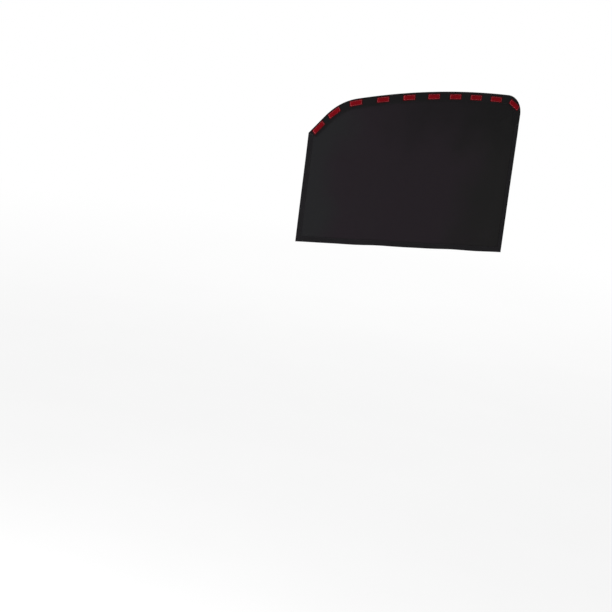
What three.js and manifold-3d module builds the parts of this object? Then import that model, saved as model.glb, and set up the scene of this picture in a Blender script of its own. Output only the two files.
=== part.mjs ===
import * as THREE from "three";
import { mergeVertices } from "three/addons/utils/BufferGeometryUtils.js";
import Module from "manifold-3d";

// A magnetic sunshade for the side window of a car's rear door: one sheet of black blackout cloth, cut to
// the window, with its arched top edge bound in a wide hem band and its other three edges in a narrower
// tape. Ten flat bar magnets sit in small red pockets sewn to the hem band, and hold the shade to the
// steel window frame behind it.
//
// Millimetres, +Z up. The shade hangs in the X-Z plane and its room side faces -Y. The back of the hem
// band lies in the plane y = 0. The origin is on that plane, behind the magnet nearest mid-width.

// Driving dimensions: the finished edge, seen from the room side
const headWidth = 690; // along X, from the top left corner to where the top right corner ends
const hemRiseAngle = 47; // degrees, the slope of the hem where it leaves the top left corner
const hemRiseLength = 64; // straight stretch of hem beside that corner
const shoulderRadius = 170; // bend from the slope into the long arch
const shoulderTurn = 36; // degrees
const archTurn = 12.3; // degrees, the long shallow arch
const cornerRadius = 54; // round top right corner
const leftLength = 288; // straight left edge
const leftLean = 2.2; // degrees from upright, the foot further right than the head
const rightLean = 2.4; // degrees from upright, the foot further right than the head
const footSlope = 1.2; // degrees, the straight lower edge drops towards the right

// Cloth, hem band and edge tape
const clothThickness = 0.6;
const tapeThickness = 0.5;
const layerGap = 0.3; // between two layers of cloth that are sewn together
const hemBandWidth = 26; // each leg of the band, front and back
const hemBandTail = 28; // the band runs this far down the right edge, past the corner
const edgeTapeWidth = 15; // each leg of the tape, front and back
const tapeJointGap = 0.4; // between the ends of the band and of the tape

// Magnets and their pockets
const magnetLength = 30;
const magnetWidth = 8;
const magnetThickness = 2;
const magnetCorner = 1;
const magnetEdgeBreak = 0.25;
const pocketLength = 41;
const pocketWidth = 16;
const pocketCorner = 2;
const pocketCloth = 0.5;
const pocketRoom = 0.3; // slack round the magnet in its pocket
const pocketSlope = 1.5; // how far the cloth runs out on its way down from the magnet's edge
const firstMagnetAlong = 30; // along the finished edge, from the top left corner
const lastMagnetBack = 43; // along the finished edge, from the end of the top right corner
const magnetSpread = [60, 75, 87, 85, 82, 73, 71, 71, 80]; // how the steps between magnets share the rest
const pocketInsetLeft = 9; // from the finished edge to the middle of a pocket, at the hem's left end
const pocketInsetRight = 16; // the same, at the hem's right end
const cornerPocketFlatter = 12; // degrees, the last pocket lies flatter than the corner it is sewn across
const referenceMagnet = 5; // counted from 0: the origin lies behind this one

// How the cloth hangs: flat behind the magnets, and in soft upright billows towards its lower edge
const flatBelowHemEnd = 30; // flat down to this far below the hem's left end
const billowDepth = 2.6;
const billowLength = 232; // from crest to crest
const smallBillowDepth = 1.2;
const smallBillowLength = 131;

// Steps along the edges
const riseSteps = 4;
const shoulderSteps = 8;
const archSteps = 26;
const cornerSteps = 8;
const sideSteps = 16;
const flatMiddle = 0.2; // of a block with sloping sides, where its two halves meet
const cornerSegments = 1; // on the round corners of a magnet or pocket, and on a tape's fold

const clothColor = "#221f22";
const hemBandColor = "#1b191c";
const edgeTapeColor = "#1e1c1f";
const pocketColor = "#74101a";
const magnetColor = "#b4b6b8";

const shadeThickness = clothThickness + 2 * (tapeThickness + layerGap);
const frontOfTape = -shadeThickness;
const clothInset = tapeThickness + layerGap; // the cloth stops short of the fold of the tape
const foldRound = tapeThickness + layerGap; // outside radius of the fold round the cloth's edge
const backOfCloth = -clothInset;
const radians = THREE.MathUtils.degToRad;

const wasm = await Module();
wasm.setup();

// A closed three.js geometry as a solid that can be joined and cut.
function solidOf(geometry) {
  const bare = geometry.index ? geometry.toNonIndexed() : geometry.clone();
  bare.deleteAttribute("normal");
  bare.deleteAttribute("uv");
  const merged = mergeVertices(bare, 1e-4);
  return new wasm.Manifold(
    new wasm.Mesh({
      numProp: 3,
      vertProperties: new Float32Array(merged.attributes.position.array),
      triVerts: new Uint32Array(merged.index.array),
    }),
  );
}

// A joined or cut solid as a three.js geometry.
function geometryOf(solid) {
  const mesh = solid.getMesh();
  const geometry = new THREE.BufferGeometry();
  geometry.setAttribute("position", new THREE.BufferAttribute(mesh.vertProperties, 3));
  geometry.setIndex(new THREE.BufferAttribute(mesh.triVerts, 1));
  geometry.computeVertexNormals();
  return geometry;
}

// A heading is an angle from +X towards +Z, in degrees.
function direction(heading) {
  return new THREE.Vector2(Math.cos(radians(heading)), Math.sin(radians(heading)));
}

// How far along X an arc of radius 1 reaches while it turns clockwise between two headings.
function reach(from, to) {
  return direction(from).y - direction(to).y;
}

// The hem's bends in order, from the top left corner. The arch fills the width that the others leave.
const shoulderEnd = hemRiseAngle - shoulderTurn;
const archEnd = shoulderEnd - archTurn;
const sideHeading = rightLean - 90;
const cornerTurn = archEnd - sideHeading;
const archReach =
  headWidth -
  hemRiseLength * direction(hemRiseAngle).x -
  shoulderRadius * reach(hemRiseAngle, shoulderEnd) -
  cornerRadius * reach(archEnd, sideHeading);
const archRadius = archReach / reach(shoulderEnd, archEnd);
const hemBends = [
  { length: hemRiseLength, turn: 0, steps: riseSteps },
  { length: shoulderRadius * radians(shoulderTurn), turn: shoulderTurn, steps: shoulderSteps },
  { length: archRadius * radians(archTurn), turn: archTurn, steps: archSteps },
  { length: cornerRadius * radians(cornerTurn), turn: cornerTurn, steps: cornerSteps },
];

// The point and heading after walking a distance along the hem.
function walkHem(distance) {
  const point = new THREE.Vector2(0, 0);
  let heading = hemRiseAngle;
  let left = distance;
  for (const bend of hemBends) {
    const part = Math.min(left, bend.length);
    const turned = (bend.turn * part) / bend.length;
    const half = radians(turned / 2);
    const chord = half > 0 ? (part * Math.sin(half)) / half : part;
    point.addScaledVector(direction(heading - turned / 2), chord);
    heading -= turned;
    left -= part;
  }
  return { point, heading };
}

const hemPoints = [new THREE.Vector2(0, 0)];
let hemLength = 0;
for (const bend of hemBends) {
  for (let step = 1; step <= bend.steps; step++) {
    hemPoints.push(walkHem(hemLength + (bend.length * step) / bend.steps).point);
  }
  hemLength += bend.length;
}

// The other three edges, on round the shade: down the right, along the foot, up the left
const hemStart = hemPoints[0];
const hemEnd = hemPoints[hemPoints.length - 1];
const rightHeading = direction(sideHeading);
const tailEnd = hemEnd.clone().addScaledVector(rightHeading, hemBandTail);
const leftFoot = hemStart.clone().addScaledVector(direction(leftLean - 90), leftLength);
const footHeading = direction(-footSlope);
const toHemEnd = hemEnd.clone().sub(leftFoot);
const footLength = toHemEnd.cross(rightHeading) / footHeading.cross(rightHeading);
const rightFoot = leftFoot.clone().addScaledVector(footHeading, footLength);

// Points after the first, up to and with the last, at the given shares of the way.
function pointsBetween(first, last, shares) {
  return shares.map((share) => first.clone().lerp(last, share));
}

const evenShares = Array.from({ length: sideSteps }, (_, step) => (step + 1) / sideSteps);
const footShares = hemPoints
  .map((point) => (hemEnd.x - point.x) / (hemEnd.x - hemStart.x))
  .reverse()
  .slice(1);
const loop = [
  ...hemPoints,
  tailEnd,
  ...pointsBetween(tailEnd, rightFoot, evenShares),
  ...pointsBetween(rightFoot, leftFoot, footShares),
  ...pointsBetween(leftFoot, hemStart, evenShares).slice(0, -1),
];

// Each edge point with the mitred way inwards from it: one unit along it is 1 mm in from both edges
const edge = loop.map((point, index) => {
  const before = loop[(index + loop.length - 1) % loop.length];
  const after = loop[(index + 1) % loop.length];
  const came = point.clone().sub(before).normalize();
  const goes = after.clone().sub(point).normalize();
  const inwardBefore = new THREE.Vector2(came.y, -came.x);
  const inwardAfter = new THREE.Vector2(goes.y, -goes.x);
  const inward = inwardBefore.clone().add(inwardAfter);
  inward.divideScalar(1 + inwardBefore.dot(inwardAfter));
  return { point, inward };
});

const tailIndex = hemPoints.length;
const rightFootIndex = tailIndex + sideSteps;
const leftFootIndex = rightFootIndex + footShares.length;
const mitredCorners = [edge[0], edge[rightFootIndex], edge[leftFootIndex]];

// A tape's stations, without those so near a mitred corner that the tape would cross itself there.
function clearOfCorners(stations, width) {
  return stations.filter((station) =>
    mitredCorners.every((corner) => {
      const mitreReach = width * Math.sqrt(corner.inward.lengthSq() - 1);
      return station === corner || station.point.distanceTo(corner.point) > mitreReach;
    }),
  );
}

function insetPoint(station, inset) {
  return station.point.clone().addScaledVector(station.inward, inset);
}

// The same station, moved a little towards a neighbouring point along the edge.
function easedTowards(station, neighbour, distance) {
  const along = neighbour.clone().sub(station.point).setLength(distance);
  return { point: station.point.clone().add(along), inward: station.inward };
}

// Where each magnet sits: its distance along the hem, its place and its heading
const magnetStretch = hemLength - firstMagnetAlong - lastMagnetBack;
const spreadTotal = magnetSpread.reduce((total, step) => total + step);
const magnetPlaces = [firstMagnetAlong];
for (const step of magnetSpread) {
  magnetPlaces.push(magnetPlaces[magnetPlaces.length - 1] + (magnetStretch * step) / spreadTotal);
}
const magnetSeats = magnetPlaces.map((along, index) => {
  const { point, heading } = walkHem(along);
  const inset = THREE.MathUtils.lerp(pocketInsetLeft, pocketInsetRight, along / hemLength);
  const centre = point.clone().addScaledVector(direction(heading - 90), inset);
  const isLast = index === magnetPlaces.length - 1;
  return { centre, heading: isLast ? heading + cornerPocketFlatter : heading };
});
const origin = magnetSeats[referenceMagnet].centre;

// How far the hanging cloth stands towards the back at a point of the shade.
const flatDownTo = hemStart.y - flatBelowHemEnd;
const lowest = Math.min(leftFoot.y, rightFoot.y);
function billow(x, z) {
  const fall = THREE.MathUtils.smoothstep(flatDownTo - z, 0, flatDownTo - lowest);
  const wide = billowDepth * Math.sin((2 * Math.PI * x) / billowLength);
  const small = smallBillowDepth * Math.sin((2 * Math.PI * x) / smallBillowLength + 1);
  return fall * (wide + small);
}

// A vertex of a hanging sheet: its place in the shade's outline, and its layer, moved with the billows.
function hangVertex(positions, index, point, layer) {
  positions.setXYZ(index, point.x - origin.x, layer + billow(point.x, point.y), point.y - origin.y);
}

// The main sheet: a thin slab whose columns run from the hem down to the foot
function clothSheet() {
  const columns = hemPoints.length - 1;
  const sheet = new THREE.BoxGeometry(columns, 1, 1, columns, sideSteps, 1);
  sheet.translate(columns / 2, -1 / 2, 0);
  const positions = sheet.attributes.position;
  for (let index = 0; index < positions.count; index++) {
    const column = Math.round(positions.getX(index));
    const down = -positions.getY(index);
    const head = insetPoint(edge[column], clothInset);
    const foot = insetPoint(edge[rightFootIndex + columns - column], clothInset);
    const layer = positions.getZ(index) > 0 ? backOfCloth - clothThickness : backOfCloth;
    hangVertex(positions, index, head.lerp(foot, down), layer);
  }
  return sheet;
}

// A tape folded over the edge: a U-shaped section with a round fold, swept along the stations, one leg
// in front of the cloth and one behind it
function foldedTape(stations, width) {
  const fold = new THREE.Shape();
  fold.moveTo(foldRound, 0);
  fold.lineTo(width, 0);
  fold.lineTo(width, -tapeThickness);
  fold.lineTo(tapeThickness, -tapeThickness);
  fold.lineTo(tapeThickness, frontOfTape + tapeThickness);
  fold.lineTo(width, frontOfTape + tapeThickness);
  fold.lineTo(width, frontOfTape);
  fold.absarc(foldRound, frontOfTape + foldRound, foldRound, -Math.PI / 2, -Math.PI, true);
  fold.absarc(foldRound, -foldRound, foldRound, Math.PI, Math.PI / 2, true);
  const steps = stations.length - 1;
  const tape = new THREE.ExtrudeGeometry(fold, {
    depth: 1,
    steps,
    curveSegments: cornerSegments,
    bevelEnabled: false,
  });
  const positions = tape.attributes.position;
  for (let index = 0; index < positions.count; index++) {
    const station = stations[Math.round(positions.getZ(index) * steps)];
    const point = insetPoint(station, positions.getX(index));
    hangVertex(positions, index, point, positions.getY(index));
  }
  return tape;
}

const halfJoint = tapeJointGap / 2;

function hemBand() {
  const stations = clearOfCorners(edge.slice(0, tailIndex + 1), hemBandWidth);
  stations[0] = easedTowards(edge[0], hemPoints[1], halfJoint);
  stations[stations.length - 1] = easedTowards(edge[tailIndex], hemEnd, halfJoint);
  return foldedTape(stations, hemBandWidth);
}

function edgeTape() {
  const stations = clearOfCorners([...edge.slice(tailIndex), edge[0]], edgeTapeWidth);
  stations[0] = easedTowards(edge[tailIndex], rightFoot, halfJoint);
  stations[stations.length - 1] = easedTowards(edge[0], leftFoot, halfJoint);
  return foldedTape(stations, edgeTapeWidth);
}

// A flat outline with round corners.
function roundedOutline(length, width, corner) {
  const alongCentre = length / 2 - corner;
  const acrossCentre = width / 2 - corner;
  const outline = new THREE.Shape();
  outline.absarc(alongCentre, acrossCentre, corner, 0, Math.PI / 2);
  outline.absarc(-alongCentre, acrossCentre, corner, Math.PI / 2, Math.PI);
  outline.absarc(-alongCentre, -acrossCentre, corner, Math.PI, 1.5 * Math.PI);
  outline.absarc(alongCentre, -acrossCentre, corner, 1.5 * Math.PI, 2 * Math.PI);
  return outline;
}

// A flat block with round corners, lying in the X-Z plane with its back at y = 0 and its front
// towards -Y. The broken edges, where it has them, are inside its size.
function roundedBlock(length, width, depth, corner, edgeBreak) {
  const cut = 2 * edgeBreak;
  const block = new THREE.ExtrudeGeometry(roundedOutline(length - cut, width - cut, corner - edgeBreak), {
    depth: depth - cut,
    curveSegments: cornerSegments,
    bevelEnabled: edgeBreak > 0,
    bevelThickness: edgeBreak,
    bevelSize: edgeBreak,
    bevelSegments: 1,
  });
  return block.translate(0, 0, edgeBreak).rotateX(Math.PI / 2);
}

// The same block with sides that slope outwards, from its size at the front to a wider foot at y = 0.
// Its other half stands behind that plane, as its mirror image.
function slopedBlock(length, width, depth, corner) {
  const block = new THREE.ExtrudeGeometry(roundedOutline(length, width, corner), {
    depth: flatMiddle,
    curveSegments: cornerSegments,
    bevelThickness: depth - flatMiddle / 2,
    bevelSize: pocketSlope,
    bevelSegments: 1,
  });
  return block.translate(0, 0, -flatMiddle / 2).rotateX(Math.PI / 2);
}

function magnet() {
  return roundedBlock(magnetLength, magnetWidth, magnetThickness, magnetCorner, magnetEdgeBreak);
}

// The pocket: a flat margin that is stitched down, and a raised middle that slopes down from the magnet
// to the margin all round and is hollow underneath
function pocket() {
  const room = 2 * pocketRoom;
  const cover = room + 2 * pocketCloth;
  const hollowDepth = magnetThickness + pocketRoom;
  const hollowCorner = magnetCorner + pocketRoom;
  const margin = roundedBlock(pocketLength, pocketWidth, pocketCloth, pocketCorner, 0);
  const raised = slopedBlock(
    magnetLength + cover,
    magnetWidth + cover,
    hollowDepth + pocketCloth,
    hollowCorner + pocketCloth,
  );
  const hollow = slopedBlock(magnetLength + room, magnetWidth + room, hollowDepth, hollowCorner);
  const behind = roundedBlock(
    2 * pocketLength,
    2 * pocketWidth,
    pocketLength,
    pocketCorner,
    0,
  ).translate(0, pocketLength, 0);
  const front = solidOf(margin).add(solidOf(raised)).subtract(solidOf(behind));
  return geometryOf(front.subtract(solidOf(hollow)));
}

function clothMaterial(color) {
  return new THREE.MeshStandardMaterial({ color, roughness: 0.9, metalness: 0 });
}

function addPiece(parent, name, geometry, material) {
  const mesh = new THREE.Mesh(geometry, material);
  mesh.name = name;
  parent.add(mesh);
  return mesh;
}

const sunshade = new THREE.Group();
sunshade.name = "window_sunshade";
addPiece(sunshade, "shade_cloth", clothSheet(), clothMaterial(clothColor));
addPiece(sunshade, "hem_band", hemBand(), clothMaterial(hemBandColor));
addPiece(sunshade, "edge_tape", edgeTape(), clothMaterial(edgeTapeColor));

magnetSeats.forEach((seat, index) => {
  const number = String(index + 1).padStart(2, "0");
  const place = new THREE.Group();
  place.position.set(seat.centre.x - origin.x, frontOfTape, seat.centre.y - origin.y);
  place.rotation.y = -radians(seat.heading);
  const nickel = new THREE.MeshStandardMaterial({ color: magnetColor, roughness: 0.3, metalness: 1 });
  addPiece(place, `magnet_${number}`, magnet(), nickel);
  addPiece(place, `magnet_pocket_${number}`, pocket(), clothMaterial(pocketColor));
  sunshade.add(place);
});

export default sunshade;
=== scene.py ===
import math
import random

import bmesh
import bpy
import numpy as np
from mathutils import Matrix, Vector


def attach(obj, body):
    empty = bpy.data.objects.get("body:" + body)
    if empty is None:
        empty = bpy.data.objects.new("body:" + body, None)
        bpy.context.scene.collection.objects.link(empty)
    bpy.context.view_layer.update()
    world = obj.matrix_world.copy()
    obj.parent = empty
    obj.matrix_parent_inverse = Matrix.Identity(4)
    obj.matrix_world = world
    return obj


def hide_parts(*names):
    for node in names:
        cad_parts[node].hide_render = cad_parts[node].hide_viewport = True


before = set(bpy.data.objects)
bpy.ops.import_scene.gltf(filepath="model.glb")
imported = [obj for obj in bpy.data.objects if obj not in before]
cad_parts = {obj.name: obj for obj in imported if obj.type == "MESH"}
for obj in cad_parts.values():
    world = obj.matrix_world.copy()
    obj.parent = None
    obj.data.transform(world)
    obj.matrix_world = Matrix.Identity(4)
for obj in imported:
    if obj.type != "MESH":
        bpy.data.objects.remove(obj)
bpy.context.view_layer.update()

# Shade cloth
# One sheet of black blackout polyester, woven plain and coated dark on the window side, cut with a hot
# knife to the shape of the window. It hangs from its arched hem, flat behind the magnets and in soft
# upright billows towards the foot, with faint pulls below the magnets.
MM = 0.001
HEAD_WIDTH = 0.690
HEM_RISE_ANGLE = 47.0
HEM_RISE_LENGTH = 0.064
SHOULDER_RADIUS = 0.170
SHOULDER_TURN = 36.0
ARCH_TURN = 12.3
CORNER_RADIUS = 0.054
LEFT_LENGTH = 0.288
LEFT_LEAN = 2.2
RIGHT_LEAN = 2.4
FOOT_SLOPE = 1.2
BAND_TAIL = 0.028
CLOTH_THICKNESS = 0.6 * MM
TAPE_THICKNESS = 0.5 * MM
LAYER_GAP = 0.3 * MM
EDGE_STEP = 2.0 * MM
CORNER_STEP = 0.7 * MM
MITRE_DEPTH = 0.25 * MM


def heading_vector(heading):
    """The way that a heading points, in degrees from +X towards +Z."""
    return Vector((math.cos(math.radians(heading)), math.sin(math.radians(heading))))


def reach(start, end):
    """How far along X an arc of radius 1 goes while it turns clockwise between two headings."""
    return heading_vector(start).y - heading_vector(end).y


SHOULDER_END = HEM_RISE_ANGLE - SHOULDER_TURN
ARCH_END = SHOULDER_END - ARCH_TURN
CORNER_END = RIGHT_LEAN - 90.0
CORNER_TURN = ARCH_END - CORNER_END
rise_and_bends = (
    HEM_RISE_LENGTH * heading_vector(HEM_RISE_ANGLE).x
    + SHOULDER_RADIUS * reach(HEM_RISE_ANGLE, SHOULDER_END)
    + CORNER_RADIUS * reach(ARCH_END, CORNER_END)
)
ARCH_RADIUS = (HEAD_WIDTH - rise_and_bends) / reach(SHOULDER_END, ARCH_END)
HEM_BENDS = [(HEM_RISE_LENGTH, 0.0)]
for radius, turn in (
    (SHOULDER_RADIUS, SHOULDER_TURN),
    (ARCH_RADIUS, ARCH_TURN),
    (CORNER_RADIUS, CORNER_TURN),
):
    HEM_BENDS.append((radius * math.radians(turn), turn))
HEM_LENGTH = sum(length for length, _ in HEM_BENDS)


def walk_hem(distance):
    """The point and the heading after walking along the finished edge from the top left corner."""
    point = Vector((0.0, 0.0))
    heading = HEM_RISE_ANGLE
    left = distance
    for length, turn in HEM_BENDS:
        part = min(left, length)
        turned = turn * part / length
        half = math.radians(turned / 2)
        chord = part * math.sin(half) / half if half > 0 else part
        point += chord * heading_vector(heading - turned / 2)
        heading -= turned
        left -= part
    return point, heading


class Station:
    """A point of the finished edge, the way inwards from it, and how deep the tape is pressed there."""

    def __init__(self, point, inward, pressed=0.0):
        self.point = point
        self.inward = inward
        self.pressed = pressed

    def at(self, inset):
        return self.point + inset * self.inward


def mitre(came, goes):
    """The way inwards between two headings: one unit along it is one unit in from both edges."""
    before = heading_vector(came - 90.0)
    after = heading_vector(goes - 90.0)
    return (before + after) / (1 + before.dot(after))


def stations_between(first, last, step):
    """Stations after the first, up to the last, that turn evenly from one end's mitre to the other's."""
    length = (last.point - first.point).length
    count = round(length / step)
    shares = [number / count for number in range(1, count)]
    shares = [CORNER_STEP / length] + shares + [1 - CORNER_STEP / length]
    between = [Station(first.point.lerp(last.point, s), first.inward.lerp(last.inward, s)) for s in shares]
    return between + [last]


# The headings of the straight edges, as they are walked on round the shade
DOWN_RIGHT = RIGHT_LEAN - 90.0
ALONG_FOOT = 180.0 - FOOT_SLOPE
UP_LEFT = LEFT_LEAN + 90.0
hem_end_point, _ = walk_hem(HEM_LENGTH)
left_foot_point = LEFT_LENGTH * heading_vector(LEFT_LEAN - 90.0)
tail_point = hem_end_point + BAND_TAIL * heading_vector(DOWN_RIGHT)
foot_way = heading_vector(-FOOT_SLOPE)
foot_length = (hem_end_point - left_foot_point).cross(heading_vector(DOWN_RIGHT))
foot_length /= foot_way.cross(heading_vector(DOWN_RIGHT))
hem_start = Station(Vector((0.0, 0.0)), mitre(UP_LEFT, HEM_RISE_ANGLE))
rise_end = Station(walk_hem(HEM_RISE_LENGTH)[0], mitre(HEM_RISE_ANGLE, HEM_RISE_ANGLE))
hem_end = Station(hem_end_point, mitre(DOWN_RIGHT, DOWN_RIGHT))
tail_end = Station(tail_point, hem_end.inward)
right_foot = Station(left_foot_point + foot_length * foot_way, mitre(DOWN_RIGHT, ALONG_FOOT), MITRE_DEPTH)
left_foot = Station(left_foot_point, mitre(ALONG_FOOT, UP_LEFT), MITRE_DEPTH)
hem_line = [hem_start] + stations_between(hem_start, rise_end, EDGE_STEP)
bend_steps = round((HEM_LENGTH - HEM_RISE_LENGTH) / EDGE_STEP)
for step in range(1, bend_steps):
    point, heading = walk_hem(HEM_RISE_LENGTH + (HEM_LENGTH - HEM_RISE_LENGTH) * step / bend_steps)
    hem_line.append(Station(point, heading_vector(heading - 90.0)))
hem_line.append(hem_end)
band_line = hem_line + stations_between(hem_end, tail_end, EDGE_STEP)
tape_line = [tail_end]
for first, last in ((tail_end, right_foot), (right_foot, left_foot), (left_foot, hem_start)):
    tape_line += stations_between(first, last, EDGE_STEP)
outline = [station.point for station in band_line[:-1] + tape_line[:-1]]

# Where the magnets sit along the hem: these places are the CAD's own, and each pocket takes its turn here
FIRST_MAGNET_ALONG = 0.030
LAST_MAGNET_BACK = 0.043
MAGNET_SPREAD = (60, 75, 87, 85, 82, 73, 71, 71, 80)
POCKET_INSET_LEFT = 9 * MM
POCKET_INSET_RIGHT = 16 * MM
CORNER_POCKET_FLATTER = 12.0
REFERENCE_MAGNET = 5
magnet_stretch = HEM_LENGTH - FIRST_MAGNET_ALONG - LAST_MAGNET_BACK
magnet_seats = []
for count in range(len(MAGNET_SPREAD) + 1):
    along = FIRST_MAGNET_ALONG + magnet_stretch * sum(MAGNET_SPREAD[:count]) / sum(MAGNET_SPREAD)
    point, heading = walk_hem(along)
    inset = POCKET_INSET_LEFT + (POCKET_INSET_RIGHT - POCKET_INSET_LEFT) * along / HEM_LENGTH
    centre = point + inset * heading_vector(heading - 90.0)
    if count == len(MAGNET_SPREAD):
        heading += CORNER_POCKET_FLATTER
    magnet_seats.append((centre, heading))
edge_origin = magnet_seats[REFERENCE_MAGNET][0]

# The hang: the CAD's billows, and finer folds that only the looks need
FLAT_BELOW_HEM_END = 0.030
BILLOW_DEPTH = 2.6 * MM
BILLOW_LENGTH = 0.232
SMALL_BILLOW_DEPTH = 1.2 * MM
SMALL_BILLOW_LENGTH = 0.131
BAND_WIDTH = 0.026
PULL_DEPTH = 0.55 * MM
PULL_WIDTH = 9 * MM
PULL_REACH = 0.055
PULL_SPREAD = 0.1
PULL_DRIFT = 0.06
PULL_START = 0.02
CALM_LEFT = (0.03, 0.07)
CALM_RIGHT = (0.02, 0.05)
RIPPLE_DEPTH = 0.35 * MM
RIPPLE_WAVES = ((21.0, 7.0, 0.0), (-5.0, 17.0, 1.0))
CREASE_DEPTH = 0.9 * MM
CREASE_WIDTH = 5 * MM
CREASE_START = Vector((0.655, 0.078))
CREASE_END = Vector((0.590, 0.050))
CREASE_FADE_IN = (-0.1, 0.35)
CREASE_FADE_OUT = (0.55, 1.2)
flat_down_to = hem_start.point.y - FLAT_BELOW_HEM_END
lowest = min(left_foot.point.y, right_foot.point.y)
hem_x = [station.point.x for station in hem_line]
hem_z = [station.point.y for station in hem_line]


def smooth(value, start, end):
    """0 up to start, 1 from end, and a smooth step between them."""
    share = min(max((value - start) / (end - start), 0.0), 1.0)
    return share * share * (3 - 2 * share)


def crease(point):
    """A short slanting crease where the cloth turns in under the top right corner."""
    span = CREASE_END - CREASE_START
    along = (point - CREASE_START).dot(span) / span.length_squared
    away = abs((point - CREASE_START).cross(span)) / span.length
    ends = smooth(along, *CREASE_FADE_IN) * (1 - smooth(along, *CREASE_FADE_OUT))
    return CREASE_DEPTH * ends * math.exp(-((away / CREASE_WIDTH) ** 2))


def hang(point):
    """How far the cloth stands towards the back at a point of the shade, in the edge's own plane."""
    fall = smooth(flat_down_to - point.y, 0.0, flat_down_to - lowest)
    wide = BILLOW_DEPTH * math.sin(2 * math.pi * point.x / BILLOW_LENGTH)
    small = SMALL_BILLOW_DEPTH * math.sin(2 * math.pi * point.x / SMALL_BILLOW_LENGTH + 1)
    below = float(np.interp(point.x, hem_x, hem_z)) - BAND_WIDTH - point.y
    if below <= 0:
        return fall * (wide + small)
    start = smooth(below, 0.0, PULL_START)
    pull = 0.0
    for seat, _ in magnet_seats:
        width = PULL_WIDTH + PULL_SPREAD * below
        pull += math.exp(-(((point.x - seat.x - PULL_DRIFT * below) / width) ** 2))
    pull *= PULL_DEPTH * start * math.exp(-below / PULL_REACH)
    ripple = RIPPLE_DEPTH * start
    for across, up, shift in RIPPLE_WAVES:
        ripple *= math.sin(across * point.x + up * point.y + shift)
    sides = smooth(point.x, *CALM_LEFT) * smooth(HEAD_WIDTH - point.x, *CALM_RIGHT)
    return fall * (wide + small) + ripple - (pull + start * crease(point)) * sides


def hung(point, layer):
    """A point of the edge's plane as a place in the frame, on a layer of the hanging cloth."""
    return Vector((point.x - edge_origin.x, layer + hang(point), point.y - edge_origin.y))


def new_grid(name, columns, rows):
    """A grid of unit cells to be shaped: column and row numbers are its X and its Y."""
    bpy.ops.object.select_all(action="DESELECT")
    bpy.ops.mesh.primitive_grid_add(x_subdivisions=columns, y_subdivisions=rows, size=1)
    grid = bpy.context.active_object
    grid.name = grid.data.name = name
    for vertex in grid.data.vertices:
        vertex.co.x = round((vertex.co.x + 0.5) * columns)
        vertex.co.y = round((vertex.co.y + 0.5) * rows)
    return grid


def measure_out(piece, size_of):
    """Gives each corner of a grid its place on the flat cloth, in metres, as the piece's UV map."""
    uvs = piece.data.uv_layers[0].data
    for corner in piece.data.loops:
        uvs[corner.index].uv = size_of(piece.data.vertices[corner.vertex_index].co)


def apply_modifier(piece, kind, **settings):
    bpy.ops.object.select_all(action="DESELECT")
    piece.select_set(True)
    bpy.context.view_layer.objects.active = piece
    modifier = piece.modifiers.new(kind.title(), kind)
    for key, value in settings.items():
        setattr(modifier, key, value)
    bpy.ops.object.modifier_apply(modifier=modifier.name)


def face_outwards(piece):
    bpy.ops.object.select_all(action="DESELECT")
    piece.select_set(True)
    bpy.context.view_layer.objects.active = piece
    bpy.ops.object.mode_set(mode="EDIT")
    bpy.ops.mesh.select_all(action="SELECT")
    bpy.ops.mesh.normals_make_consistent(inside=False)
    bpy.ops.object.mode_set(mode="OBJECT")


def shade_smooth(piece, angle=40.0):
    bpy.ops.object.select_all(action="DESELECT")
    piece.select_set(True)
    bpy.context.view_layer.objects.active = piece
    bpy.ops.object.shade_smooth_by_angle(angle=math.radians(angle))


CLOTH_INSET = TAPE_THICKNESS + LAYER_GAP
CLOTH_MIDDLE = -(CLOTH_INSET + CLOTH_THICKNESS / 2)
CLOTH_CELL = 3.0 * MM
cloth_columns = len(hem_line) - 1
cloth_rows = round(LEFT_LENGTH / CLOTH_CELL)
head_start = hem_start.at(CLOTH_INSET)
head_width = hem_end.at(CLOTH_INSET).x - head_start.x
shade_cloth = new_grid("shade_cloth_hung", cloth_columns, cloth_rows)
for vertex in shade_cloth.data.vertices:
    head = hem_line[round(vertex.co.x)].at(CLOTH_INSET)
    across = (head.x - head_start.x) / head_width
    foot = left_foot.at(CLOTH_INSET).lerp(right_foot.at(CLOTH_INSET), across)
    vertex.co = hung(foot.lerp(head, vertex.co.y / cloth_rows), CLOTH_MIDDLE)
measure_out(shade_cloth, lambda place: (place.x, place.z))
apply_modifier(shade_cloth, "SOLIDIFY", thickness=CLOTH_THICKNESS, offset=0.0)
face_outwards(shade_cloth)
shade_smooth(shade_cloth)


# A noise texture's values lie mostly between these two
NOISE_LOW = 0.3
NOISE_HIGH = 0.7


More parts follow.
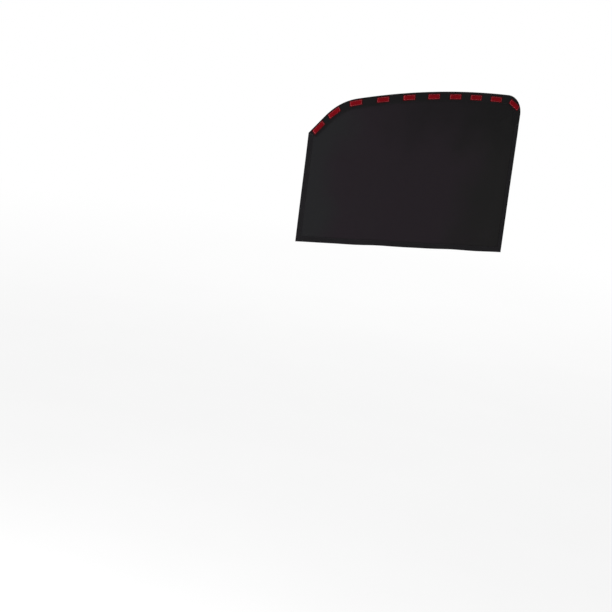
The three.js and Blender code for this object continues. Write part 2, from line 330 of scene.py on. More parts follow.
class Signal:
    """A shader socket that takes part in sums: each operator adds its Math node to the material."""

    def __init__(self, tree, socket):
        self.tree = tree
        self.socket = socket

    def node(self, kind, settings, sockets, output=0):
        """Adds any node: its settings first, then the values or links of its sockets."""
        made = self.tree.nodes.new(kind)
        for key, value in settings.items():
            setattr(made, key, value)
        for key, value in sockets.items():
            if isinstance(value, Signal):
                self.tree.links.new(value.socket, made.inputs[key])
            else:
                made.inputs[key].default_value = value
        return Signal(self.tree, made.outputs[output])

    def maths(self, operation, *values):
        return self.node("ShaderNodeMath", {"operation": operation}, dict(enumerate(values)))

    def __add__(self, other):
        return self.maths("ADD", self, other)

    def __radd__(self, other):
        return self.maths("ADD", other, self)

    def __sub__(self, other):
        return self.maths("SUBTRACT", self, other)

    def __rsub__(self, other):
        return self.maths("SUBTRACT", other, self)

    def __mul__(self, other):
        return self.maths("MULTIPLY", self, other)

    def __rmul__(self, other):
        return self.maths("MULTIPLY", other, self)

    def sine(self):
        return self.maths("SINE", self)

    def size(self):
        return self.maths("ABSOLUTE", self)

    def above(self, limit):
        return self.maths("GREATER_THAN", self, limit)

    def split(self):
        """The X, Y and Z of a vector."""
        return [self.node("ShaderNodeSeparateXYZ", {}, {0: self}, axis) for axis in range(3)]

    def noise(self, scale, detail=3.0, roughness=0.5):
        sockets = {"Vector": self, "Scale": scale, "Detail": detail, "Roughness": roughness}
        return self.node("ShaderNodeTexNoise", {}, sockets)

    def rise(self, start, end):
        """0 where this is under start, 1 where it is over end, and a smooth step between."""
        sockets = {"Value": self, "From Min": start, "From Max": end}
        return self.node("ShaderNodeMapRange", {"interpolation_type": "SMOOTHSTEP"}, sockets)

    def between(self, low, high):
        """This noise spread between two values."""
        sockets = {"Value": self, "From Min": NOISE_LOW, "From Max": NOISE_HIGH}
        sockets |= {"To Min": low, "To Max": high}
        return self.node("ShaderNodeMapRange", {}, sockets)

    def blend(self, first, second):
        """The first colour where this is 0 and the second where it is 1."""
        sockets = {0: self, 6: first, 7: second}
        return self.node("ShaderNodeMix", {"data_type": "RGBA"}, sockets, 2)


def srgb(red, green, blue):
    """A colour written as 0 to 255 on screen, as the shader's linear colour."""
    shares = [value / 255 for value in (red, green, blue)]
    linear = [(s / 12.92 if s <= 0.04045 else ((s + 0.055) / 1.055) ** 2.4) for s in shares]
    return (*linear, 1.0)


def new_material(name, **uniform):
    """A material, its Principled shader with the values that are the same all over, and its inputs."""
    material = bpy.data.materials.new(name)
    material.use_nodes = True
    shader = material.node_tree.nodes["Principled BSDF"]
    for key, value in uniform.items():
        shader.inputs[key.replace("_", " ")].default_value = value
    tree = material.node_tree
    coordinates = tree.nodes.new("ShaderNodeTexCoord")
    place = Signal(tree, coordinates.outputs["Object"])
    flat = Signal(tree, coordinates.outputs["UV"])
    return material, shader, place, flat


def connect(shader, **varying):
    for key, signal in varying.items():
        signal.tree.links.new(signal.socket, shader.inputs[key.replace("_", " ")])


def bump(height, distance, strength=1.0):
    sockets = {"Height": height, "Distance": distance, "Strength": strength}
    return height.node("ShaderNodeBump", {}, sockets)


def plain_weave(along, across, pitch):
    """The height of a plain weave, 0 to 1: each thread goes over one and under the next."""
    turn = math.pi / pitch
    warp = (along * turn).sine()
    weft = (across * turn).sine()
    over = (warp * weft).above(0.0)
    return over * warp.size() + (1 - over) * weft.size()


CLOTH_PITCH = 0.7 * MM
NEUTRAL_BLACK = srgb(34, 34, 36)
PLUM_BLACK = srgb(35, 28, 34)
# The dye's warm hue, and darker than the neutral black as painted shade on the right side
WARM_CAST_AND_SHADE_BLACK = srgb(27, 26, 26)
# Painted shade: this darker black is laid over the top right of the cloth
PAINTED_SHADE_BLACK = srgb(15, 14, 15)
# Painted shade in the dips between the threads of the weave
DIP_SHADE_BLACK = srgb(14, 13, 14)
PLUM_FROM = (-0.36, -0.2)
WARM_CAST_AND_SHADE_FROM = (0.06, 0.26)
# Where the painted shade darkens the cloth: above this height and right of this line
PAINTED_SHADE_ABOVE = (-0.2, 0.02)
PAINTED_SHADE_RIGHT_OF = (-0.34, 0.2)
PAINTED_SHADE_SHARE = 0.75
CAST_WANDER = 0.06
THREAD_RELIEF = 0.09 * MM


def blackout_cloth():
    """Plain-woven black with painted shade in the weave's dips, the dye's faint plum cast, a warm cast that
    is also painted shade on the right side, and painted shade darkening the top right.
    """
    material, shader, place, _ = new_material(
        "blackout_cloth", Specular_IOR_Level=0.1, Sheen_Weight=0.03, Sheen_Roughness=0.6
    )
    x, _, z = place.split()
    weave = plain_weave(x, z, CLOTH_PITCH)
    threads = place.noise(900.0, 2.0)
    patches = place.noise(7.0).between(-CAST_WANDER, CAST_WANDER)
    cast_and_shade = (x + patches).rise(*PLUM_FROM).blend(NEUTRAL_BLACK, PLUM_BLACK)
    # The dye's warm cast, whose darker black is also painted shade on the right side
    cast_and_shade = (x + patches).rise(*WARM_CAST_AND_SHADE_FROM).blend(cast_and_shade, WARM_CAST_AND_SHADE_BLACK)
    # Painted shade that darkens the top right of the cloth
    painted_shade = (z + patches).rise(*PAINTED_SHADE_ABOVE) * (x + patches).rise(*PAINTED_SHADE_RIGHT_OF)
    cast_and_shade = (painted_shade * PAINTED_SHADE_SHARE).blend(cast_and_shade, PAINTED_SHADE_BLACK)
    # Painted shade in the weave's dips, over a random tone of the threads
    dip_shade_and_tone = (1 - weave) * 0.25 + threads.between(0.0, 0.2)
    connect(
        shader,
        Base_Color=dip_shade_and_tone.blend(cast_and_shade, DIP_SHADE_BLACK),
        Roughness=threads.between(0.82, 0.95),
        Normal=bump(weave * 0.8 + threads * 0.5, THREAD_RELIEF, 0.7),
    )
    return material


def coated_back():
    """The window side: a thin dark coat that lets the weave show through."""
    material, shader, place, _ = new_material("coated_back", Specular_IOR_Level=0.2)
    x, _, z = place.split()
    weave = plain_weave(x, z, CLOTH_PITCH)
    skin = place.noise(60.0, 4.0)
    connect(
        shader,
        Base_Color=skin.between(0.0, 1.0).blend(srgb(30, 29, 31), srgb(38, 37, 39)),
        Roughness=skin.between(0.5, 0.68),
        Normal=bump(weave * 0.4 + skin * 0.6, 0.05 * MM, 0.5),
    )
    return material


shade_cloth.data.materials.append(blackout_cloth())
shade_cloth.data.materials.append(coated_back())
for face in shade_cloth.data.polygons:
    face.material_index = 1 if face.normal.y > 0.5 else 0
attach(shade_cloth, "root")
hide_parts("shade_cloth")

# Hem band
# A woven polyester band folded over the arched top edge, 26 mm wide on each side, that stiffens the hem
# and carries the magnet pockets. It is eased round the bends and sewn through with one row of stitches.
FRONT_LEG = -(CLOTH_THICKNESS + 2 * LAYER_GAP + 1.5 * TAPE_THICKNESS)
BACK_LEG = -TAPE_THICKNESS / 2
FOLD_RADIUS = (BACK_LEG - FRONT_LEG) / 2
FOLD_STEPS = 6
LEG_STEPS = 7
BAND_SEAM_INSET = 24.2 * MM
BAND_JOINT = 0.2 * MM
SEAM_GROOVE = 0.14 * MM
GROOVE_WIDTH = 0.5 * MM
LEG_PUFF = 0.16 * MM
PUCKER_DEPTH = 0.16 * MM
PUCKER_LENGTH = 8.5 * MM
PUCKER_DRIFT = 1.7
PUCKER_DRIFT_LENGTH = 7.3 * PUCKER_LENGTH
PUCKER_START = 0.45
GROOVE_STEPS = (1.6, 0.8, 0.0, -0.8, -1.6)
TAPE_PITCH = 0.45 * MM


def fold_profile(width, seam_inset):
    """The folded tape's section, as insets and layers: back leg from its edge, fold, front leg."""
    fold_centre = TAPE_THICKNESS / 2 + FOLD_RADIUS
    seam_steps = [GROOVE_WIDTH * share for share in GROOVE_STEPS]
    insets = [width] + [seam_inset + step for step in seam_steps]
    rest = insets[-1] - fold_centre
    insets += [insets[-1] - rest * step / LEG_STEPS for step in range(1, LEG_STEPS + 1)]
    grooves = [SEAM_GROOVE * math.exp(-(((i - seam_inset) / GROOVE_WIDTH) ** 2)) for i in insets]
    shares = [min(max((i - fold_centre) / (seam_inset - fold_centre), 0.0), 1.0) for i in insets]
    puffs = [LEG_PUFF * math.sin(math.pi * share) for share in shares]
    back = [(i, BACK_LEG - groove) for i, groove in zip(insets, grooves)]
    middle = (BACK_LEG + FRONT_LEG) / 2
    turns = [math.pi * step / FOLD_STEPS for step in range(1, FOLD_STEPS)]
    fold = [(fold_centre - FOLD_RADIUS * math.sin(t), middle + FOLD_RADIUS * math.cos(t)) for t in turns]
    front = [(i, FRONT_LEG + groove - puff) for i, groove, puff in zip(insets, grooves, puffs)]
    return back + fold + front[::-1]


def distances(points):
    """How far along a line each of its points lies."""
    walked = [0.0]
    for point, after in zip(points, points[1:]):
        walked.append(walked[-1] + (after - point).length)
    return walked


def pucker(along, inset, width):
    """How far the front leg stands up between its stitches, most near its inner edge."""
    drift = PUCKER_DRIFT * math.sin(2 * math.pi * along / PUCKER_DRIFT_LENGTH)
    wave = 0.5 + 0.5 * math.sin(2 * math.pi * along / PUCKER_LENGTH + drift)
    return PUCKER_DEPTH * wave * smooth(inset, PUCKER_START * width, width)


def folded_tape(name, stations, width, seam_inset):
    """A tape folded over the edge, from a grid with the edge along it and its section across it."""
    profile = fold_profile(width, seam_inset)
    across = distances([Vector(step) for step in profile])
    along = distances([station.point for station in stations])
    tape = new_grid(name, len(stations) - 1, len(profile) - 1)
    vertices = tape.data.vertices
    uvs = tape.data.uv_layers[0].data
    for face in tape.data.polygons:
        first = min(round(vertices[index].co.x) for index in face.vertices)
        way = (stations[first + 1].point - stations[first].point).normalized()
        for corner in face.loop_indices:
            vertex = vertices[tape.data.loops[corner].vertex_index]
            column = round(vertex.co.x)
            row = round(vertex.co.y)
            slant = profile[row][0] * stations[column].inward.dot(way)
            uvs[corner].uv = (along[column] + slant, across[row])
    middle = (BACK_LEG + FRONT_LEG) / 2
    for vertex in vertices:
        inset, layer = profile[round(vertex.co.y)]
        station = stations[round(vertex.co.x)]
        if layer < middle:
            layer += station.pressed - pucker(along[round(vertex.co.x)], inset, width)
        else:
            layer -= station.pressed
        vertex.co = hung(station.at(inset), layer)
    apply_modifier(tape, "SOLIDIFY", thickness=TAPE_THICKNESS, offset=0.0)
    face_outwards(tape)
    shade_smooth(tape)
    return tape


def shortened(stations, distance):
    """The same stations with both ends moved in a little, to leave the joints between band and tape."""
    ends = []
    for station, neighbour in ((stations[0], stations[1]), (stations[-1], stations[-2])):
        way = (neighbour.point - station.point).normalized()
        ends.append(Station(station.point + distance * way, station.inward))
    return ends[:1] + stations[1:-1] + ends[1:]


band_stations = shortened(band_line, BAND_JOINT)
hem_band = folded_tape("hem_band_folded", band_stations, BAND_WIDTH, BAND_SEAM_INSET)


def woven_tape(name, dark, light, rib, rib_share):
    """A woven tape: fine ribs across its length over a plain weave, in a slightly uneven black, with a
    painted highlight on the ribs' crowns and painted shade between them.
    """
    material, shader, place, flat = new_material(
        name, Specular_IOR_Level=0.1, Sheen_Weight=0.03, Sheen_Roughness=0.6
    )
    along, across, _ = flat.split()
    weave = plain_weave(along, across, TAPE_PITCH)
    ribs = (along * (math.pi / rib)).sine().size()
    fuzz = place.noise(1100.0, 2.0)
    patches = place.noise(9.0, 3.0)
    relief = ribs * rib_share + weave * (1 - rib_share) + fuzz * 0.4
    connect(
        shader,
        # Random patches of tone, with a painted highlight on the ribs' crowns and painted shade between
        # them
        Base_Color=(patches.between(0.0, 0.7) + ribs * 0.3).blend(dark, light),
        Roughness=fuzz.between(0.8, 0.95),
        Normal=bump(relief, THREAD_RELIEF, 0.6),
    )
    return material


# Partly the band's own black and partly painted shade: set darker than the cloth to stand for shade along
# the hem
BAND_BLACKS_AND_SHADE = (srgb(12, 11, 12), srgb(20, 18, 20))
BAND_RIB = 0.9 * MM
BAND_RIB_SHARE = 0.35
hem_band.data.materials.append(woven_tape("hem_band_weave", *BAND_BLACKS_AND_SHADE, BAND_RIB, BAND_RIB_SHARE))
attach(hem_band, "root")
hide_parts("hem_band")

# Edge tape
# A narrow ribbed edging tape folded over the right edge, the foot and the left edge in one length, with
# its two lower corners folded to a mitre, and sewn through with one row of stitches.
EDGE_TAPE_WIDTH = 15 * MM
TAPE_SEAM_INSET = 13.2 * MM
tape_stations = shortened(tape_line, BAND_JOINT)
edge_tape = folded_tape("edge_tape_folded", tape_stations, EDGE_TAPE_WIDTH, TAPE_SEAM_INSET)
TAPE_BLACKS = (srgb(18, 17, 19), srgb(28, 26, 29))
TAPE_RIB = 1.3 * MM
TAPE_RIB_SHARE = 0.7
edge_tape.data.materials.append(woven_tape("edge_tape_weave", *TAPE_BLACKS, TAPE_RIB, TAPE_RIB_SHARE))
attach(edge_tape, "root")
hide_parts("edge_tape")

# Seams
# Black polyester thread. One row of lockstitches holds the band to the cloth and one the tape, seen on
# both sides, and a short bar of close stitches locks each joint between the band and the tape.
STITCH_LENGTH = 2.5 * MM
STITCH_PITCH = 3.3 * MM
THREAD_WIDTH = 0.42 * MM
THREAD_STANDS = 0.12 * MM
THREAD_ROUGHNESS = (0.5, 0.65)
PLY_WIDTH = 0.16 * MM
STITCH_BLUNTNESS = 0.6
STITCH_TILT = 0.04
TACK_STITCH = 3.2 * MM
TACK_PITCH = 0.55 * MM
TACK_MARGIN = 2.5 * MM


def new_stitch(length, width, height):
    """One stitch: a small bar of thread along X with blunt round ends."""
    bpy.ops.object.select_all(action="DESELECT")
    bpy.ops.mesh.primitive_uv_sphere_add(segments=6, ring_count=5, radius=0.5, rotation=(0, math.pi / 2, 0))
    bpy.ops.object.transform_apply(location=True, rotation=True, scale=True)
    stitch = bpy.context.active_object
    for vertex in stitch.data.vertices:
        side = math.copysign(abs(vertex.co.x * 2) ** STITCH_BLUNTNESS, vertex.co.x) / 2
        vertex.co = (side * length, vertex.co.y * height, vertex.co.z * width)
    return stitch


def copies_of(template, name, places):
    """One mesh of many copies of a template, each moved by its own matrix. The template is used up."""
    built = bmesh.new()
    for matrix in places:
        before = len(built.verts)
        built.from_mesh(template.data)
        built.verts.ensure_lookup_table()
        bmesh.ops.transform(built, matrix=matrix, verts=built.verts[before:])
    made = bpy.data.objects.new(name, bpy.data.meshes.new(name))
    bpy.context.collection.objects.link(made)
    built.to_mesh(made.data)
    built.free()
    bpy.data.objects.remove(template, do_unlink=True)
    shade_smooth(made)
    return made


def turned_to(way, place):
    """The matrix that lays a stitch along a way in the X-Z plane, at a place."""
    along = Vector((way.x, 0.0, way.y)).normalized()
    front = Vector((0.0, 1.0, 0.0))
    up = along.cross(front)
    return Matrix.Translation(place) @ Matrix((along, front, up)).transposed().to_4x4()


def seam_places(stations, inset, layer, jitter):
    """Places at an even pitch along a row that runs at a set inset from the edge."""
    row = [station.at(inset) for station in stations]
    places = []
    walked = 0.0
    due = STITCH_PITCH
    for start, end in zip(row, row[1:]):
        length = (end - start).length
        while due <= walked + length:
            point = start.lerp(end, (due - walked) / length)
            tilt = jitter.uniform(-STITCH_TILT, STITCH_TILT)
            ahead = (end - start).normalized()
            way = ahead + tilt * Vector((-ahead.y, ahead.x))
            places.append(turned_to(way, hung(point, layer)))
            due += STITCH_PITCH
        walked += length
    return places


def bar_tack(station, neighbour, layer):
    """Close stitches laid side by side across a joint, from near the fold to near the inner edge."""
    way = (neighbour.point - station.point).normalized()
    count = round((EDGE_TAPE_WIDTH - 2 * TACK_MARGIN) / TACK_PITCH)
    insets = [TACK_MARGIN + TACK_PITCH * step for step in range(count)]
    return [turned_to(way, hung(station.at(inset), layer)) for inset in insets]


thread_jitter = random.Random(7)
front_of_tape = FRONT_LEG - TAPE_THICKNESS / 2 - THREAD_STANDS
back_of_tape = BACK_LEG + TAPE_THICKNESS / 2
seams = {
    "hem_seam": (band_stations, BAND_SEAM_INSET, "hem_band_cloth"),
    "edge_seam": (tape_stations, TAPE_SEAM_INSET, "edge_tape_cloth"),
}


def thread(name, dark, light):
    """Twisted polyester thread: slanting plies in the relief and in the colour, as a painted highlight on
    their crowns and painted shade between them, and a little gloss.
    """
    material, shader, place, _ = new_material(name, Specular_IOR_Level=0.25)
    x, y, z = place.split()
    plies = ((x + z + y) * (math.pi / PLY_WIDTH)).sine().size()
    fuzz = place.noise(1500.0, 2.0)
    connect(
        shader,
        # Random fuzz of tone, with a painted highlight on the plies' crowns and painted shade between them
        Base_Color=(plies * 0.6 + fuzz.between(0.0, 0.4)).blend(dark, light),
        Roughness=fuzz.between(*THREAD_ROUGHNESS),
        Normal=bump(plies, 0.05 * MM, 0.5),
    )
    return material


black_thread = thread("black_thread", srgb(26, 25, 28), srgb(44, 42, 46))
for name, (stations, inset, slot) in seams.items():
    places = seam_places(stations, inset, front_of_tape, thread_jitter)
    places += seam_places(stations, inset, back_of_tape, thread_jitter)
    rows = copies_of(new_stitch(STITCH_LENGTH, THREAD_WIDTH, THREAD_WIDTH), name, places)
    rows.data.materials.append(black_thread)
    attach(rows, "root")

tack_places = []
for station, neighbour in (band_line[:2], tape_line[:2]):
    for layer in (front_of_tape, back_of_tape):
        tack_places += bar_tack(station, neighbour, layer)
joint_tacks = copies_of(new_stitch(TACK_STITCH, THREAD_WIDTH, THREAD_WIDTH), "joint_tacks", tack_places)
joint_tacks.data.materials.append(black_thread)
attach(joint_tacks, "root")

# Magnet pockets
# Ten patches of dark red woven polyester, heat-cut, laid on the band over the magnets and sewn down
# round each magnet with a close zigzag in a lighter red thread. The magnet raises the middle.
POCKET_LENGTH = 41 * MM
POCKET_WIDTH = 16 * MM
POCKET_CORNER = 2 * MM
POCKET_CLOTH = 0.5 * MM
MAGNET_LENGTH = 30 * MM
MAGNET_WIDTH = 8 * MM
MAGNET_THICKNESS = 2 * MM
MAGNET_CORNER = 1 * MM
POCKET_ROOM = 0.3 * MM
POCKET_DOME = 0.25 * MM
SHOULDER_SLOPE = 1.2 * MM
WRINKLE_DEPTH = 0.13 * MM
WRINKLE_LENGTH = 3.1 * MM
WRINKLE_WAY = (0.9, 0.5)
WRINKLE_RISE = (-0.4 * MM, 0.7 * MM)
WRINKLE_FALL = (1.0 * MM, 2.2 * MM)
EDGE_LIFT = 0.1 * MM
EDGE_LIFT_WIDTH = 1 * MM
SEAM_LENGTH = 35.2 * MM
SEAM_WIDTH = 10.6 * MM
SEAM_CORNER = 1.6 * MM
ZIGZAG_WIDTH = 1.5 * MM
ZIGZAG_PITCH = 0.58 * MM
ZIGZAG_LEAN = 0.25
ZIGZAG_JITTER = 0.06
RING_SUNK = 0.12 * MM
RING_REACH = 1.2 * MM
RING_THREAD_WIDTH = 0.4 * MM
RING_THREAD_HEIGHT = 0.36 * MM
POCKET_PITCH = 0.7 * MM
POCKET_RELIEF = 0.12 * MM
POCKET_REDS = (srgb(97, 5, 12), srgb(142, 9, 23))
POCKET_MAROONS = (srgb(56, 1, 5), srgb(80, 3, 9))
GRID_CELL = 0.5 * MM
FRONT_OF_BAND = FRONT_LEG - TAPE_THICKNESS / 2


def outside_of(x, z, length, width, corner):
    """How far a point lies outside a rectangle with round corners, less than 0 inside it."""
    over_x = abs(x) - (length / 2 - corner)
    over_z = abs(z) - (width / 2 - corner)
    return math.hypot(max(over_x, 0), max(over_z, 0)) + min(max(over_x, over_z), 0) - corner


def round_off(x, z):
    """Draws the points of a square corner in to a round one."""
    over_x = abs(x) - (POCKET_LENGTH / 2 - POCKET_CORNER)
    over_z = abs(z) - (POCKET_WIDTH / 2 - POCKET_CORNER)
    if over_x <= 0 or over_z <= 0:
        return x, z
    share = max(over_x, over_z) / math.hypot(over_x, over_z)
    new_x = POCKET_LENGTH / 2 - POCKET_CORNER + over_x * share
    new_z = POCKET_WIDTH / 2 - POCKET_CORNER + over_z * share
    return math.copysign(new_x, x), math.copysign(new_z, z)


def pocket_rise(x, z):
    """How far the patch stands off the band: over the magnet, down its sides, and sunk at the seam."""
    room = 2 * POCKET_ROOM
    raised = outside_of(x, z, MAGNET_LENGTH + room, MAGNET_WIDTH + room, MAGNET_CORNER)
    over_magnet = MAGNET_THICKNESS + POCKET_ROOM
    dome = POCKET_DOME * (1 - smooth(raised, -MAGNET_WIDTH / 2, 0))
    slope = 1 - smooth(raised, -POCKET_ROOM, SHOULDER_SLOPE)
    pulled = smooth(raised, *WRINKLE_RISE) * (1 - smooth(raised, *WRINKLE_FALL))
    along = WRINKLE_WAY[0] * x + WRINKLE_WAY[1] * z
    wrinkle = WRINKLE_DEPTH * pulled * math.sin(2 * math.pi * along / WRINKLE_LENGTH)
    seam = abs(outside_of(x, z, SEAM_LENGTH, SEAM_WIDTH, SEAM_CORNER))
    edge = outside_of(x, z, POCKET_LENGTH, POCKET_WIDTH, POCKET_CORNER)
    edge_lift = EDGE_LIFT * smooth(edge, -EDGE_LIFT_WIDTH, 0)
    sunk = RING_SUNK * (1 - smooth(seam, 0, RING_REACH))
    return max(over_magnet * slope + dome + wrinkle - sunk, 0.0) + edge_lift


pocket_columns = round(POCKET_LENGTH / GRID_CELL)
pocket_rows = round(POCKET_WIDTH / GRID_CELL)
patch = new_grid("pocket_patch", pocket_columns, pocket_rows)
for vertex in patch.data.vertices:
    x, z = round_off(
        POCKET_LENGTH * (vertex.co.x / pocket_columns - 0.5),
        POCKET_WIDTH * (vertex.co.y / pocket_rows - 0.5),
    )
    vertex.co = (x, -pocket_rise(x, z) - POCKET_CLOTH / 2, z)
measure_out(patch, lambda place: (place.x, place.z))
apply_modifier(patch, "SOLIDIFY", thickness=POCKET_CLOTH, offset=0.0)
face_outwards(patch)


def zigzag_places(jitter):
    """Places of the close stitches round the magnet, across the seam and leaning a little."""
    straight_x = SEAM_LENGTH / 2 - SEAM_CORNER
    straight_z = SEAM_WIDTH / 2 - SEAM_CORNER
    quarter = SEAM_CORNER * math.pi / 2
    sides = [(2 * straight_x, 0.0), (quarter, 90.0), (2 * straight_z, 0.0), (quarter, 90.0)] * 2
    point = Vector((-straight_x, SEAM_WIDTH / 2))
    heading = 0.0
    places = []
    for length, turn in sides:
        count = max(round(length / ZIGZAG_PITCH), 1)
        for _ in range(count):
            step_turn = turn / count
            half = math.radians(step_turn / 2)
            chord = length / count * (math.sin(half) / half if half > 0 else 1.0)
            point = point + chord * heading_vector(heading - step_turn / 2)
            heading -= step_turn
            lean = ZIGZAG_LEAN + jitter.uniform(-ZIGZAG_JITTER, ZIGZAG_JITTER)
            way = heading_vector(heading - 90.0) + lean * heading_vector(heading)
            rise = pocket_rise(point.x, point.y)
            place = Vector((point.x, -rise - POCKET_CLOTH - THREAD_STANDS, point.y))
            places.append(turned_to(way, place))
    return places


ring_stitch = new_stitch(ZIGZAG_WIDTH, RING_THREAD_WIDTH, RING_THREAD_HEIGHT)
border = copies_of(ring_stitch, "pocket_border", zigzag_places(random.Random(11)))


def pocket_weave():
    """Dark red plain weave with painted shade in the dips between its threads, and a maroon margin outside
    the stitched ring.
    """
    material, shader, place, flat = new_material("pocket_weave", Specular_IOR_Level=0.06)
    along, across, _ = flat.split()
    weave = plain_weave(along, across, POCKET_PITCH)
    fuzz = place.noise(1200.0, 2.0)
    patches = place.noise(40.0, 3.0)
    margin = along.size().above(SEAM_LENGTH / 2)
    margin = margin.maths("MAXIMUM", margin, across.size().above(SEAM_WIDTH / 2))
    # Random patches of tone, with painted shade in the weave's dips and its crowns lighter
    tone_and_weave_shade = patches.between(0.0, 0.35) + weave * 0.65
    red = tone_and_weave_shade.blend(*POCKET_REDS)
    maroon = tone_and_weave_shade.blend(*POCKET_MAROONS)
    connect(
        shader,
        Base_Color=margin.blend(red, maroon),
        Roughness=fuzz.between(0.78, 0.92),
        Normal=bump(weave * 0.8 + fuzz * 0.4, POCKET_RELIEF, 0.8),
    )
    return material


pocket_cloth = pocket_weave()
red_thread = thread("red_thread", srgb(176, 56, 68), srgb(222, 100, 110))
for number, (centre, heading) in enumerate(magnet_seats, start=1):
    seat = turned_to(heading_vector(heading), hung(centre, FRONT_OF_BAND))
    for template, name, material in (
        (patch, f"pocket_patch_{number:02d}", pocket_cloth),
        (border, f"pocket_border_{number:02d}", red_thread),
    ):
        piece = bpy.data.objects.new(name, template.data.copy())
        bpy.context.collection.objects.link(piece)
        piece.data.transform(seat)
        piece.data.materials.clear()
        piece.data.materials.append(material)
        shade_smooth(piece)
        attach(piece, "root")
        if template is patch:
            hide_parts(f"magnet_pocket_{number:02d}")
for template in (patch, border):
    bpy.data.objects.remove(template, do_unlink=True)

# Magnets
# Ten nickel-plated neodymium bars, 30 by 8 by 2 mm, with their edges broken. Each lies loose in its
# pocket, flat on the band. The plating is smooth with a faint grain and fine handling scratches.
SCRATCH_ACROSS = 1900.0
SCRATCH_SLANT = 400.0
SCRATCH_WANDER = 9.0
NICKELS = (srgb(168, 168, 166), srgb(196, 196, 194))


def nickel_plate():
    """Smooth plating, a little cloudy, with fine scratches that wander."""
    material, shader, place, _ = new_material("nickel_plate", Metallic=1.0)
    grain = place.noise(700.0, 3.0)
    cloud = place.noise(90.0, 3.0)
    x, _, z = place.split()
    scratches = (x * SCRATCH_ACROSS + z * SCRATCH_SLANT + grain * SCRATCH_WANDER).sine().size()
    connect(
        shader,
        Base_Color=cloud.between(0.0, 1.0).blend(*NICKELS),
        Roughness=grain.between(0.24, 0.4),
        Normal=bump(scratches * 0.3 + grain, 0.02 * MM, 0.3),
    )
    return material


nickel = nickel_plate()
for name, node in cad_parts.items():
    if name.startswith("magnet_") and not name.startswith("magnet_pocket"):
        node.data.materials.clear()
        node.data.materials.append(nickel)

# Sheets of cloth
# The sizes that the cloth, the band and the tape are cut to, laid flat.


def outline_area(points):
    return abs(sum(a.cross(b) for a, b in zip(points, points[1:] + points[:1]))) / 2


band_length = HEM_LENGTH + BAND_TAIL
tape_length = distances([station.point for station in tape_line])[-1]
outline_area(outline)
2 * BAND_WIDTH + math.pi * FOLD_RADIUS
2 * EDGE_TAPE_WIDTH + math.pi * FOLD_RADIUS

# Floor, light and camera
# A plain pale floor well below the hanging shade, a white surround, one soft light from the left and in
# front and one from behind, and the camera turned to the shade as the photograph has it.
FLOOR_HEIGHT = -1.05
FLOOR_SIZE = 80.0
FLOOR_FADE = (1.0, 4.0)
FLOOR_WHITE = 0.8
bpy.ops.object.select_all(action="DESELECT")
bpy.ops.mesh.primitive_plane_add(size=FLOOR_SIZE, location=(0.0, 0.0, FLOOR_HEIGHT))
floor = bpy.context.active_object
floor.name = "floor"


def white_to_camera(tree):
    """1 for the rays that see the surround itself: the camera's, reflected and transmitted ones."""
    rays = tree.nodes.new("ShaderNodeLightPath")
    seen = Signal(tree, rays.outputs["Is Camera Ray"])
    glossy = Signal(tree, rays.outputs["Is Glossy Ray"])
    through = Signal(tree, rays.outputs["Is Transmission Ray"])
    total = seen + glossy + through
    return total.maths("MINIMUM", total, 1.0)


floor_material, floor_shader, floor_place, _ = new_material(
    "pale_floor", Roughness=0.9, Specular_IOR_Level=0.1
)
floor_tone = floor_place.noise(3.0, 2.0).between(0.0, 1.0)
connect(floor_shader, Base_Color=floor_tone.blend(srgb(236, 236, 236), srgb(242, 242, 242)))
floor_tree = floor_material.node_tree
glow = floor_tree.nodes.new("ShaderNodeEmission")
floor_mix = floor_tree.nodes.new("ShaderNodeMixShader")
away = floor_place.node("ShaderNodeVectorMath", {"operation": "LENGTH"}, {0: floor_place}, 1)
whiteness = FLOOR_WHITE + (1 - FLOOR_WHITE) * away.rise(*FLOOR_FADE)
glow_share = white_to_camera(floor_tree) * whiteness
floor_tree.links.new(glow_share.socket, floor_mix.inputs[0])
floor_tree.links.new(floor_shader.outputs[0], floor_mix.inputs[1])
floor_tree.links.new(glow.outputs[0], floor_mix.inputs[2])
floor_tree.links.new(floor_mix.outputs[0], floor_tree.nodes["Material Output"].inputs[0])
floor.data.materials.append(floor_material)

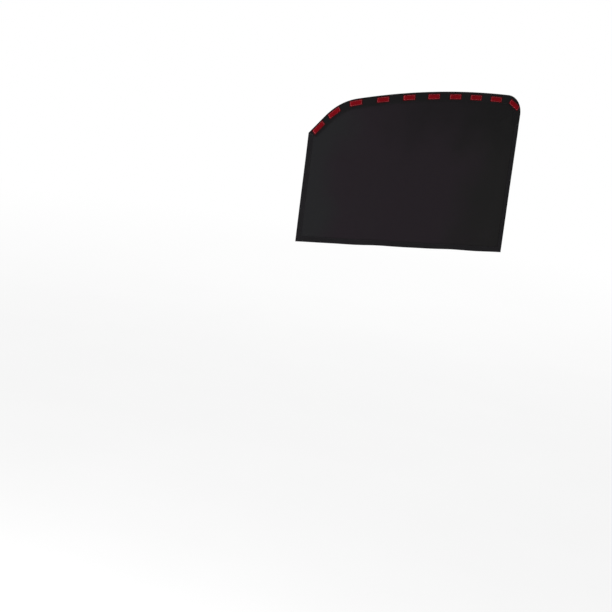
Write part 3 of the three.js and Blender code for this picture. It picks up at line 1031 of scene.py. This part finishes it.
ROOM_LIGHT = 0.5
world = bpy.data.worlds.new("surround")
world.use_nodes = True
bpy.context.scene.world = world
world_tree = world.node_tree
background = world_tree.nodes["Background"]
background.inputs["Color"].default_value = (1.0, 1.0, 1.0, 1.0)
world_strength = ROOM_LIGHT + (1 - ROOM_LIGHT) * white_to_camera(world_tree)
world_tree.links.new(world_strength.socket, background.inputs["Strength"])

SHADE_MIDDLE = Vector((-0.046, -0.001, -0.206))


def soft_light(name, place, size, watts):
    bpy.ops.object.select_all(action="DESELECT")
    bpy.ops.object.light_add(type="AREA", location=place)
    light = bpy.context.active_object
    light.name = name
    light.data.size = size
    light.data.energy = watts
    light.visible_camera = False
    light.rotation_euler = (SHADE_MIDDLE - Vector(place)).to_track_quat("-Z", "Y").to_euler()


soft_light("soft_key", place=(-2.0, -1.1, -0.35), size=0.9, watts=26.0)
soft_light("soft_back", place=(1.6, 2.4, 0.8), size=1.6, watts=26.0)

# The camera sees the shade's room side turned 34 degrees away and leaning 15 degrees towards it,
# with the picture itself turned a third of a degree
VIEW_TURN = math.radians(34.0)
VIEW_LEAN = math.radians(15.0)
VIEW_ROLL = math.radians(0.3)
VIEW_DEPTH = 5.146
VIEW_ACROSS = 0.2724
VIEW_UP = 0.3609
LENS = 112.9
CLIP_END = 60.0
backwards = Vector((
    -math.sin(VIEW_TURN),
    -math.cos(VIEW_TURN) * math.cos(VIEW_LEAN),
    math.cos(VIEW_TURN) * math.sin(VIEW_LEAN),
))
upwards = Vector((0.0, math.sin(VIEW_LEAN), math.cos(VIEW_LEAN)))
sideways = upwards.cross(backwards)
turned = Matrix((sideways, upwards, backwards)).transposed() @ Matrix.Rotation(VIEW_ROLL, 3, "Z")
sideways, upwards, backwards = turned.col
eye = SHADE_MIDDLE + VIEW_DEPTH * backwards - VIEW_ACROSS * sideways - VIEW_UP * upwards
camera = bpy.data.objects.new("camera", bpy.data.cameras.new("camera"))
bpy.context.collection.objects.link(camera)
camera.data.lens = LENS
camera.data.clip_end = CLIP_END
camera.matrix_world = Matrix.Translation(eye) @ turned.to_4x4()
bpy.context.scene.camera = camera
bpy.context.scene.view_settings.view_transform = "Standard"
